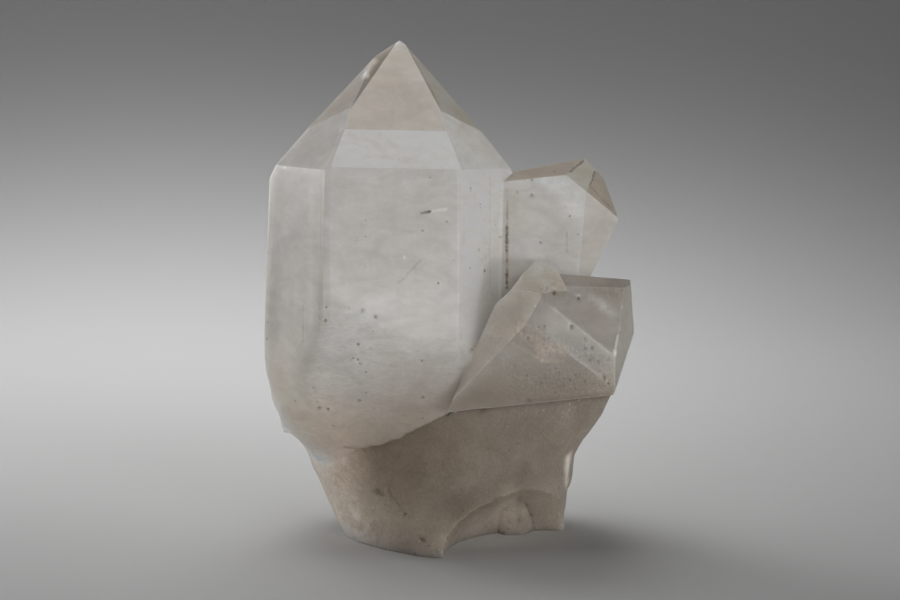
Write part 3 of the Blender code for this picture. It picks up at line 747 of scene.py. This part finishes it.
class Skin:
    """Triangles of the stone, with the kind of surface and the flat face that each lies on."""

    def __init__(self, triangles, kinds, faces, count):
        self.triangles, self.kinds, self.faces = np.array(triangles), np.array(kinds), np.array(faces)
        self.count = count
        self.sides = np.sort(np.concatenate([self.triangles[:, k] for k in ([0, 1], [1, 2], [2, 0])]), axis=1)
        self.pairs = np.unique(self.sides, axis=0)

    def on(self, *kinds):
        """Which points touch a surface of these kinds."""
        found = np.zeros(self.count, bool)
        found[self.triangles[np.isin(self.kinds, kinds)].ravel()] = True
        return found

    def soft(self, chosen, rounds):
        """1 at the chosen points, blurred a little way into their neighbours."""
        level = chosen.astype(float)[:, None]
        for _ in range(rounds):
            level += (middles(level, self.pairs) - level) * LEVEL_PULL
        return level[:, 0]

    def normals(self, points):
        """Outward normal at each point."""
        a, b, c = (points[self.triangles[:, k]] for k in range(3))
        across = np.cross(b - a, c - a)
        total = np.stack([
            sum(np.bincount(self.triangles[:, k], across[:, axis], self.count) for k in range(3))
            for axis in range(3)], 1)
        return total / np.maximum(np.linalg.norm(total, axis=1), 1e-9)[:, None]

    def relaxed(self, points, weights, rounds):
        """Points drawn in or out towards the middle of their neighbours, as far as each weight lets them."""
        moving = points.copy()
        for turn in range(rounds):
            if turn % 6 == 0:
                normals = self.normals(moving)
            pull = middles(moving, self.pairs) - moving
            moving += normals * ((pull * normals).sum(1) * weights)[:, None]
        return moving

    def blended(self, colours):
        """Face tones that fade from the prism faces into the rounded end, where no edge parts them."""
        count = len(self.triangles)
        owners = np.tile(np.arange(count), 3)
        order = np.lexsort((self.sides[:, 1], self.sides[:, 0]))
        sides, owners = self.sides[order], owners[order]
        shared = (sides[1:] == sides[:-1]).all(1)
        pairs = np.stack((owners[:-1][shared], owners[1:][shared]), 1)
        main = np.isin(self.kinds, (PRISM, TONGUE))
        rounded = (self.kinds == TONGUE)[pairs].any(1)
        one_face = self.faces[pairs[:, 0]] == self.faces[pairs[:, 1]]
        pairs = pairs[main[pairs].all(1) & (rounded | one_face)]
        level = colours.copy()
        linked = np.zeros(count, bool)
        linked[pairs.ravel()] = True
        for _ in range(TONE_ROUNDS):
            level[linked] += ((middles(level, pairs) - level) * TONE_PULL)[linked]
        return level


def remeshed(node):
    """Points and skin of a fine mesh over the flat faces of the CAD solid, its ridges and its tones.

    Neighbouring faces share the points along their common edges, so the mesh stays closed.
    """
    rng = np.random.default_rng(SEED)
    bm = flat_faces(node)
    kinds = [kind_of(face) for face in bm.faces]
    points = [np.array(vert.co) for vert in bm.verts]
    runs, ridges = split_edges(bm, kinds, points)
    triangles, faces = [], []
    for face in bm.faces:
        made = filled(face, kinds[face.index], outline_of(face, runs), points, rng)
        triangles += made
        faces += [face.index] * len(made)
    slots, colours = face_tones(bm, kinds)
    bm.free()
    skin = Skin(triangles, np.array(kinds)[faces], faces, len(points))
    return np.array(points), skin, ridges, slots[faces], colours[faces]


def face_tones(bm, kinds):
    """Material and tone of every flat face."""
    slots = np.array([MASSIVE if kind in (FOOT, UNDERSIDE) else MILKY for kind in kinds])
    colours = np.ones((len(kinds), 3))
    toned = set()
    for _label, spot, slot, colour in FACE_TONES_AND_SHADING:
        index = face_at(bm, spot).index
        slots[index] = slot
        colours[index] = colour
        toned.add(index)
    for face in bm.faces:
        if kinds[face.index] == CRYSTAL and face.index not in toned and face.calc_area() < SMALL_AREA:
            around = {near.index: near.calc_area() for edge in face.edges for near in edge.link_faces}
            largest = max(around, key=around.get)
            slots[face.index], colours[face.index] = slots[largest], colours[largest]
    return slots, colours


def smooth_step(share):
    """A share from 0 to 1 that starts and ends gently."""
    share = np.clip(share, 0.0, 1.0)
    return share * share * (3.0 - 2.0 * share)


def nearness(points, centre, radii):
    """1 at the centre of an ellipsoid, falling smoothly to 0 at its skin."""
    return smooth_step(1.0 - np.sqrt((((points - np.array(centre)) / np.array(radii)) ** 2).sum(1)))


def streak_share(points, start, end, radius):
    """1 along a straight streak, falling smoothly to 0 at its radius."""
    start, along = np.array(start), np.array(end) - np.array(start)
    part = np.clip((points - start) @ along / np.dot(along, along), 0.0, 1.0)
    return smooth_step(1.0 - np.linalg.norm(points - start - part[:, None] * along, axis=1) / radius)


def most_of(points, streaks):
    """The largest share that any of the streaks has in each point."""
    return np.max([streak_share(points, *streak) for streak in streaks], axis=0)


def worn_round(points):
    """How far each point lies in a ridge that is worn round."""
    return most_of(points, [(start, end, reach * 1.3) for start, end, reach in WORN_RIDGES])


def grain_distances(points):
    """Each grain's radius with the distance of every point to it."""
    for x, y, z, radius in GRAINS:
        yield radius, np.sqrt(((points - np.array((x, y, z))) ** 2).sum(1))


def joined_smoothly(points, skin):
    """Puts the main crystal's lower facets on the smooth shape that they stand for."""
    foot = skin.on(FOOT)
    main = skin.on(PRISM, TONGUE) & ~skin.on(CRYSTAL) & ~(foot & (points[:, 0] < MERGED_LEFT))
    contact = main & foot
    pairs = skin.pairs[contact[skin.pairs].all(1)]
    joined = points.copy()
    for _ in range(CONTACT_ROUNDS):
        joined[contact] += ((middles(joined, pairs) - joined) * CONTACT_PULL)[contact]
    moved = joined[main].copy()
    for _ in range(JOIN_ROUNDS):
        slope = slope_of(main_distance, moved)
        steep = np.maximum((slope ** 2).sum(1), 0.25)
        step = slope * (main_distance(moved) / steep)[:, None]
        size = np.linalg.norm(step, axis=1)
        moved -= step * np.minimum(1.0, LONGEST_MOVE / np.maximum(size, 1e-9))[:, None]
    joined[main] = moved
    return joined


def looseness(points, skin):
    """How freely each point moves when the CAD's facets are smoothed away."""
    main = skin.on(PRISM, TONGUE)
    weights = np.ones(skin.count)
    weights[main] = np.clip(nearness(points, *LEFT_END) * 1.5, 0.0, 1.0)[main]
    weights[skin.on(CRYSTAL, UNDERSIDE)] = 0.0
    weights[main & skin.on(FOOT) & (points[:, 0] > FREE_LEFT)] = 0.0
    fin = ((points > FIN_BOX[0]) & (points < FIN_BOX[1])).all(1)
    weights[fin] *= FIN_LOOSENESS
    weights *= 1.0 - np.clip(nearness(points, *STUB) * 5.0, 0.0, 1.0) * STUB_HOLD
    return weights * LOOSENESS


def worn(points, skin):
    """Smooths the CAD's facets away on the natural surfaces and keeps the crystal faces flat."""
    everywhere, softer, arch_rounds, ridge_rounds = ROUNDS
    weights = looseness(points, skin)
    moved = skin.relaxed(points, weights, everywhere)
    extra = np.max([nearness(points, *place) for place in (HOLLOW, FOOT_FRONT, LEFT_END)], axis=0)
    moved = skin.relaxed(moved, weights * np.clip(extra * 1.6, 0.0, 1.0), softer)
    arch = most_of(moved, [(start, end, HOLLOW_REACH) for start, end in zip(HOLLOW_EDGE, HOLLOW_EDGE[1:])])
    moved = skin.relaxed(moved, weights * np.clip(arch * 1.6, 0.0, 1.0), arch_rounds)
    ridge = most_of(points, WORN_RIDGES)
    ridge[skin.on(UNDERSIDE, FOOT, TONGUE, PRISM)] = 0.0
    return skin.relaxed(moved, np.clip(ridge * 2.0, 0.0, LOOSENESS), ridge_rounds)


def wavy(points, layers):
    """Sum of smooth noises, each with its own wavelength and height."""
    return np.array([
        sum(noise.noise(Vector(point) / length) * height for length, height in layers) for point in points])


def crystal_edges(ridges):
    """Points along each edge that sticks out between two crystal faces."""
    steep = radians(CHIPPED_ANGLE)
    return [chain for chain, angle, sides in ridges if angle > steep and sides <= SHARP_KINDS]


def roughened(points, skin, ridges):
    """Lumps and grains on the natural surfaces, chips along the crystals' edges and small pits."""
    normals = skin.normals(points)
    under = skin.on(UNDERSIDE)
    natural = skin.soft(skin.on(FOOT) & ~under & ~skin.on(CRYSTAL), RELIEF_BLUR[0])
    natural[under] = 0.0
    tongue = skin.soft(skin.on(TONGUE), RELIEF_BLUR[1])
    lumps = wavy(points, LUMPS) + wavy(points, RAGGED) * RAGGED_HEIGHT * streak_share(points, *RAGGED_RIM)
    waves = wavy(points / WAVE_LENGTHS, ((1.0, WAVE_HEIGHT),))
    contact = skin.on(FOOT) & skin.on(TONGUE) & (points[:, 0] > MERGED_LEFT)
    groove = np.exp(-(nearest(points, points[contact]) / GROOVE_WIDTH) ** 2)
    lift = natural * lumps + tongue * (1.0 - natural) * waves - groove * GROOVE_DEPTH
    for radius, away in grain_distances(points):
        lift -= np.exp(-(away / (radius * PIT_SPREAD)) ** 2) * radius * PIT_DEPTH
    moved = points + normals * lift[:, None]
    for chain in crystal_edges(ridges):
        for k, chip in zip(chain, wavy(points[chain], CHIPS)):
            moved[k] -= normals[k] * (EDGE_WEAR + CHIP_DEPTH * max(0.0, chip) ** 4)
    return moved


def sharp_pairs(points, ridges):
    """Pairs of points that a sharp edge joins: crystal edges, creases and the edge of the underside."""
    soft = worn_round(points) > 0.3
    sharp = set()
    for chain, angle, sides in ridges:
        flats = sides <= SHARP_KINDS
        crease = len(sides) > 1 and angle < -radians(CREASE_ANGLE)
        if (flats and abs(angle) > radians(SHARP_ANGLE)) or crease or UNDERSIDE in sides:
            sharp.update(
                (min(i, j), max(i, j)) for i, j in zip(chain, chain[1:])
                if not (soft[i] and soft[j] and flats))
    return sharp


def added(name, data):
    """New object in the scene."""
    made = bpy.data.objects.new(name, data)
    bpy.context.scene.collection.objects.link(made)
    return made


def stone_object(points, skin, ridges):
    """Object of the stone in the row frame, with its crystal edges left sharp."""
    mesh = bpy.data.meshes.new("quartz_stone")
    mesh.from_pydata(((points + SHIFT) * MM).tolist(), [], skin.triangles.tolist())
    mesh.update()
    mesh.shade_smooth()
    sharp = sharp_pairs(points, ridges)
    ends = np.empty(len(mesh.edges) * 2, np.int32)
    mesh.edges.foreach_get("vertices", ends)
    marks = [(min(i, j), max(i, j)) in sharp for i, j in ends.reshape(-1, 2).tolist()]
    mesh.attributes.new("sharp_edge", "BOOLEAN", "EDGE").data.foreach_set("value", marks)
    return added("quartz_stone", mesh)


def store_level(mesh, name, values):
    """Keep one number a point for the material."""
    made = mesh.attributes.new(name, "FLOAT", "POINT")
    made.data.foreach_set("value", np.clip(values, 0.0, 1.0).astype(np.float32))


def store_colour(mesh, name, domain, colours):
    """Keep one colour a point or face for the material."""
    made = mesh.attributes.new(name, "FLOAT_COLOR", domain)
    filled_up = np.concatenate((colours, np.ones((len(colours), 1))), 1)
    made.data.foreach_set("color", filled_up.astype(np.float32).ravel())


def massive_share(points, skin):
    """How massive the quartz is: it ends sharply at the crystals, but fades at the left and behind."""
    foot = skin.on(FOOT)
    left = (FADE_LEFT[0] - points[:, 0]) / FADE_LEFT[1]
    back = (points[:, 1] - FADE_BACK[0]) / FADE_BACK[1]
    return foot + (skin.soft(foot, FADE_BLUR) - foot) * np.clip(np.maximum(left, back), 0.0, 1.0)


def edge_share(points, ridges):
    """1 on the crystal edges that are whitened, partly as chips and partly as a painted highlight."""
    edge = np.zeros(len(points))
    for chain in crystal_edges(ridges):
        edge[chain] = 1.0
    edge *= 1.0 - np.clip(nearness(points, *QUIET_EDGES) * 3.0, 0.0, 1.0)
    below_tip = np.clip((TIP_EDGE_TOP - points[:, 2]) / TIP_EDGE_FADE, 0.0, 1.0)
    return edge * below_tip * (1.0 - np.clip(worn_round(points) * 2.0, 0.0, 1.0))


def tint_of(points, massive):
    """Colour that multiplies the quartz at each point, much of it painted light and shade; a tint of the foot
    leaves the crystals alone.
    """
    colour = np.ones((len(points), 3))
    for label, start, end, radius, tint in TINTS:
        share = streak_share(points, start, end, radius)[:, None]
        if label.startswith("foot"):
            share = share * massive[:, None]
        colour *= 1.0 + (np.array(tint) - 1.0) * share
    return colour


def store_looks(mesh, points, skin, ridges, slots, colours):
    """Everything that the materials read from the mesh, and which material each triangle has."""
    massive = massive_share(points, skin)
    levels = {
        "natural": skin.soft(skin.on(FOOT), LOOKS_BLUR[0]),
        "tongue": skin.soft(skin.on(TONGUE), LOOKS_BLUR[1]),
        "massive": massive,
        "edge": edge_share(points, ridges),
        "crust": np.max([streak_share(points, *crust[1:4]) * crust[4] for crust in CRUSTS], axis=0),
        "specked": (SPECK_TOP - points[:, 2]) / SPECK_FADE,
        "grain": np.max([(radius * 1.2 - away) / 0.4 for radius, away in grain_distances(points)], axis=0),
    }
    for name, values in levels.items():
        store_level(mesh, name, values)
    contact = points[skin.on(FOOT) & skin.on(CRYSTAL)]
    # Painted shade that darkens the crease where the crystals stand on the foot
    crease_shade = np.exp(-(nearest(points, contact) / CREASE_SHADE_WIDTH) ** 2)[:, None]
    store_colour(mesh, "tint", "POINT", tint_of(points, massive) * (1.0 - crease_shade * CREASE_SHADE))
    # Face tones, with their painted light and shade
    store_colour(mesh, "tone", "FACE", skin.blended(colours))
    mesh.polygons.foreach_set("material_index", slots.astype(np.int32))


class Nodes:
    """Short way to write a node tree."""

    def __init__(self, tree):
        self.tree = tree

    def plug(self, socket, value):
        """Links a socket to another node's output, or sets its value."""
        if isinstance(value, bpy.types.NodeSocket):
            self.tree.links.new(value, socket)
        else:
            socket.default_value = value

    def add(self, kind, settings=None, inputs=None):
        """A node with its settings and its unlinked or linked inputs."""
        made = self.tree.nodes.new(kind)
        for key, value in (settings or {}).items():
            setattr(made, key, value)
        for key, value in (inputs or {}).items():
            self.plug(made.inputs[key], value)
        return made

    def kept(self, name, result="Fac"):
        """A number or colour kept on the mesh."""
        return self.add("ShaderNodeAttribute", {"attribute_name": name}).outputs[result]

    def math(self, operation, first, second=0.0, clamp=False):
        """Arithmetic on two numbers."""
        made = self.add("ShaderNodeMath", {"operation": operation, "use_clamp": clamp}, {0: first, 1: second})
        return made.outputs[0]

    def times(self, first, second, clamp=False):
        """Product of two numbers."""
        return self.math("MULTIPLY", first, second, clamp)

    def plus(self, first, second, clamp=False):
        """Sum of two numbers."""
        return self.math("ADD", first, second, clamp)

    def vector(self, operation, first, second, result="Vector"):
        """Arithmetic on two vectors."""
        made = self.add("ShaderNodeVectorMath", {"operation": operation}, {0: first, 1: second})
        return made.outputs[result]

    def scaled(self, vector, factor):
        """A vector or colour times a number."""
        made = self.add("ShaderNodeVectorMath", {"operation": "SCALE"}, {0: vector, "Scale": factor})
        return made.outputs[0]

    def stretched(self, place, scale):
        """A place with each axis on its own scale."""
        return self.add("ShaderNodeMapping", None, {"Vector": place, "Scale": scale}).outputs[0]

    def noise(self, place, scale, detail=3.0, roughness=0.5, distortion=0.0, result="Fac"):
        """Cloudy noise from 0 to 1."""
        made = self.add("ShaderNodeTexNoise", None, {
            "Vector": place, "Scale": scale, "Detail": detail,
            "Roughness": roughness, "Distortion": distortion})
        return made.outputs[result]

    def spread(self, value, low, high, new_low=0.0, new_high=1.0, curve="LINEAR"):
        """Mapping of one range of numbers onto another."""
        made = self.add("ShaderNodeMapRange", {"clamp": True, "interpolation_type": curve}, {
            "Value": value, "From Min": low, "From Max": high, "To Min": new_low, "To Max": new_high})
        return made.outputs["Result"]

    def mix(self, share, first, second, blend="MIX"):
        """Mixture of two colours."""
        made = self.add("ShaderNodeMix", {"data_type": "RGBA", "blend_type": blend})
        for socket, value in zip((made.inputs[0], made.inputs[6], made.inputs[7]), (share, first, second)):
            self.plug(socket, value)
        return made.outputs[2]


def mark_share(n, place, start, end, reach):
    """1 along a straight line, falling smoothly to 0 a little beyond its reach."""
    along = end - start
    off = n.vector("SUBTRACT", place, tuple(start))
    part = n.vector("DOT_PRODUCT", off, tuple(along / (along @ along)), "Value")
    foot = n.scaled(tuple(along), n.times(part, 1.0, True))
    return n.spread(n.vector("DISTANCE", off, foot, "Value"), 0.0, reach * 1.15, 1.0, 0.0, "SMOOTHSTEP")


def marked(n, place, colour, name):
    """The colour with this material's fine marks on it, each drawn along a slightly wandering line."""
    wander = n.vector("SUBTRACT", n.noise(place, *WANDER, result="Color"), (0.5, 0.5, 0.5))
    bent = n.vector("ADD", place, n.scaled(wander, BROAD_BEND))
    slightly = n.vector("ADD", place, n.scaled(wander, THIN_BEND))
    broken = n.spread(n.noise(place, *GAPS), *GAP_RANGE)
    for _label, reach, tint, *places in MARKS[name] + MARKS["any"]:
        tint = np.broadcast_to(tint, 3)
        bright = max(tint) > BRIGHT_MARK
        for start, end in zip(places, places[1:]):
            drawn = slightly if bright or reach < THIN_MARK else bent
            share = mark_share(n, drawn, np.array(start) + SHIFT, np.array(end) + SHIFT, reach)
            colour = n.mix(share if bright else n.times(share, broken), colour, (*tint, 1.0), "MULTIPLY")
    return colour


def specks(n, place, spacing, chance, size):
    """Scattered small dots: 1 inside them."""
    cells = n.add("ShaderNodeTexVoronoi", None, {"Vector": place, "Scale": 1.0 / spacing})
    draw = n.add("ShaderNodeSeparateColor", None, {"Color": cells.outputs["Color"]}).outputs[0]
    reach = n.spread(draw, 1.0 - chance, 1.0, 0.0, size / spacing)
    return n.math("LESS_THAN", cells.outputs["Distance"], reach)


def cloudy_stone(n, place, levels, name, thin, dense):
    """Colour of the stone itself, between cloudy and denser quartz, with thin veils in the crystals."""
    cloudiness = n.plus(n.times(n.noise(place, *CLOUDS), 0.6), n.times(n.noise(place, *WISPS), 0.4))
    cloudiness = n.spread(cloudiness, *CLOUD_RANGE)
    crystal, massive = n.mix(cloudiness, thin, dense), n.mix(cloudiness, MASSIVE_THIN, MASSIVE_DENSE)
    stone = n.mix(levels["massive"], crystal, massive)
    if name != "massive_quartz":
        veils = n.noise(n.stretched(place, VEIL_STRETCH), *VEILS)
        stone = n.scaled(stone, n.spread(veils, *VEIL_RANGE))
    return stone


def grained(n, place, levels, ripples, stone):
    """The stone with its ripples and fine grain, which show most where it is broken."""
    rippled = n.times(n.spread(ripples, *RIPPLE_RANGE), levels["tongue"])
    fine = n.spread(n.noise(place, *GRAININESS), *GRAIN_RANGE)
    coarse = n.math("MAXIMUM", levels["natural"], n.times(levels["crust"], 1.8))
    strength = n.plus(n.times(coarse, 0.85), 0.15)
    return n.scaled(n.scaled(stone, n.plus(rippled, 1.0)), n.plus(n.times(fine, strength), 1.0))


def quartz_colour(n, place, levels, name, stone):
    """The stone's colour with dots, tints, tones, fine marks, whitened edges and grains; much of the tints,
    tones and marks is painted light and shade.
    """
    crust = levels["crust"]
    wander = n.noise(place, *UNEVEN, result="Color")
    uneven = n.vector("ADD", place, n.scaled(wander, DOT_BEND))
    plain = n.plus(n.times(levels["natural"], WHITE_BROKEN), WHITE_PLAIN)
    white = n.times(specks(n, uneven, *WHITE_DOTS), plain)
    white = n.plus(white, n.times(specks(n, uneven, *WHITE_CRUST_DOTS), n.times(crust, WHITE_CRUST)), True)
    colour = n.mix(white, stone, WHITE_DOT)
    for layer in ("tint", "tone"):
        colour = n.mix(1.0, colour, n.kept(layer, "Color"), "MULTIPLY")
    colour = marked(n, place, colour, name)
    # White along the crystal edges: real chips and a painted edge highlight
    colour = n.mix(n.times(levels["edge"], EDGE_STRENGTH), colour, CHIP_AND_HIGHLIGHT_WHITE)
    patches = n.spread(n.noise(place, *PATCHES), *PATCH_RANGE)
    dark = n.times(n.times(specks(n, uneven, *DARK_DOTS), patches), levels["specked"])
    dark = n.math("MAXIMUM", dark, n.times(specks(n, uneven, *DARK_CRUST_DOTS), crust))
    return n.mix(levels["grain"], n.mix(n.times(dark, DARK_STRENGTH), colour, DARK_DOT), GRAIN)


def quartz_bump(n, place, levels, ripples):
    """Normal of the granular broken stone and the rippled rounded end."""
    granular = n.math("MAXIMUM", levels["natural"], levels["crust"])
    bumps = n.times(n.noise(place, *BUMPS), n.times(granular, BUMP_HEIGHT))
    striae = n.times(ripples, n.plus(n.times(levels["tongue"], RIPPLE_HEIGHT), FACE_RIPPLE_HEIGHT))
    height = n.plus(bumps, striae)
    return n.add("ShaderNodeBump", None, {"Strength": 1.0, "Distance": MM, "Height": height}).outputs[0]


def quartz_material(name, clear, milky, thin, dense):
    """Quartz: cloudy, partly see-through, with glossy faces and duller broken stone."""
    mat = bpy.data.materials.new(name)
    mat.use_nodes = True
    n = Nodes(mat.node_tree)
    place = n.scaled(n.add("ShaderNodeTexCoord").outputs["Object"], 1.0 / MM)
    levels = {level: n.kept(level) for level in LEVELS}
    ripples = n.noise(n.stretched(place, RIPPLE_STRETCH), *RIPPLES)
    stone = grained(n, place, levels, ripples, cloudy_stone(n, place, levels, name, thin, dense))
    rough = n.spread(n.noise(place, *GLOSS), *ROUGHNESS_RANGE)
    rough = n.plus(rough, n.times(levels["natural"], BROKEN_ROUGHNESS))
    shader = mat.node_tree.nodes["Principled BSDF"]
    for socket, value in (
            ("Base Color", quartz_colour(n, place, levels, name, stone)),
            ("Roughness", n.plus(rough, n.times(levels["edge"], EDGE_ROUGHNESS), True)),
            ("Normal", quartz_bump(n, place, levels, ripples)),
            ("IOR", QUARTZ_IOR),
            ("Transmission Weight", clear),
            ("Subsurface Weight", milky),
            ("Subsurface Radius", SCATTER_REACH),
            ("Subsurface Scale", SCATTER_SCALE)):
        n.plug(shader.inputs[socket], value)
    volume = n.add("ShaderNodeVolumeAbsorption", None, {"Color": INNER_COLOUR, "Density": INNER_DENSITY})
    n.plug(mat.node_tree.nodes["Material Output"].inputs["Volume"], volume.outputs[0])
    return mat


def add_camera():
    """Camera at the photograph's place."""
    data = bpy.data.cameras.new("photo_camera")
    data.lens = CAMERA_LENS
    data.sensor_width = CAMERA_SENSOR
    camera = added("photo_camera", data)
    pitch = radians(CAMERA_PITCH)
    camera.location = row(CAMERA_TARGET) - CAMERA_DISTANCE * Vector((0.0, cos(pitch), -sin(pitch)))
    camera.rotation_euler = (pi / 2.0 - pitch, 0.0, 0.0)
    bpy.context.scene.camera = camera


def sweep_mesh():
    """Level floor that curves up into a wall."""
    turns = np.linspace(0.0, pi / 2.0, 40)
    profile = [(y, 0.0) for y in SWEEP_FRONT]
    profile += [(SWEEP_START + SWEEP_RADIUS * sin(a), SWEEP_RADIUS * (1.0 - cos(a))) for a in turns]
    profile.append((SWEEP_START + SWEEP_RADIUS, SWEEP_TOP))
    places = [(x, y, z) for x in (-SWEEP_WIDTH, SWEEP_WIDTH) for y, z in profile]
    count = len(profile)
    mesh = bpy.data.meshes.new("studio_sweep")
    mesh.from_pydata(places, [], [(k, count + k, count + k + 1, k + 1) for k in range(count - 1)])
    mesh.shade_smooth()
    return mesh


def add_sweep():
    """Pale floor and backdrop in one sheet."""
    mesh = sweep_mesh()
    sweep = added("studio_sweep", mesh)
    mat = bpy.data.materials.new("pale_sweep")
    mat.use_nodes = True
    shader = mat.node_tree.nodes["Principled BSDF"]
    shader.inputs["Base Color"].default_value = SWEEP_GREY
    shader.inputs["Roughness"].default_value = SWEEP_ROUGHNESS
    mesh.materials.append(mat)


def add_light(name, place, aim, size, watts, spread):
    """Soft rectangular light that faces a point."""
    data = bpy.data.lights.new(name, "AREA")
    data.shape = "RECTANGLE"
    data.size, data.size_y = size
    data.energy = watts
    data.spread = radians(spread)
    lamp = added(name, data)
    lamp.location = place
    lamp.rotation_euler = (Vector(aim) - Vector(place)).to_track_quat("-Z", "Y").to_euler()


def add_dark_world():
    """No light but the lamps'."""
    world = bpy.data.worlds.new("studio")
    world.use_nodes = True
    world.node_tree.nodes["Background"].inputs["Color"].default_value = (0.0, 0.0, 0.0, 1.0)
    bpy.context.scene.world = world


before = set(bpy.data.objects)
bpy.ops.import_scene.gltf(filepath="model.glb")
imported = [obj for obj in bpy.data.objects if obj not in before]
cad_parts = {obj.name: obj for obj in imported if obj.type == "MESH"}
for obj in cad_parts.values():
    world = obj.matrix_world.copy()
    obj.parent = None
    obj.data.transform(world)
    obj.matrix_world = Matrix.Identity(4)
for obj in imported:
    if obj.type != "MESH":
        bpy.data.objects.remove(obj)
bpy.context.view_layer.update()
points, skin, ridges, slots, colours = remeshed(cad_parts["quartz_cluster"])
points = joined_smoothly(points, skin)
points = worn(points, skin)
points = roughened(points, skin, ridges)
stone = stone_object(points, skin, ridges)
for settings in QUARTZES:
    stone.data.materials.append(quartz_material(*settings))
store_looks(stone.data, points, skin, ridges, slots, colours)
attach(stone, "root")
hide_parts("quartz_cluster")
add_sweep()
for light in LIGHTS:
    add_light(*light)
add_dark_world()
add_camera()
bpy.context.scene.view_settings.view_transform = "Standard"
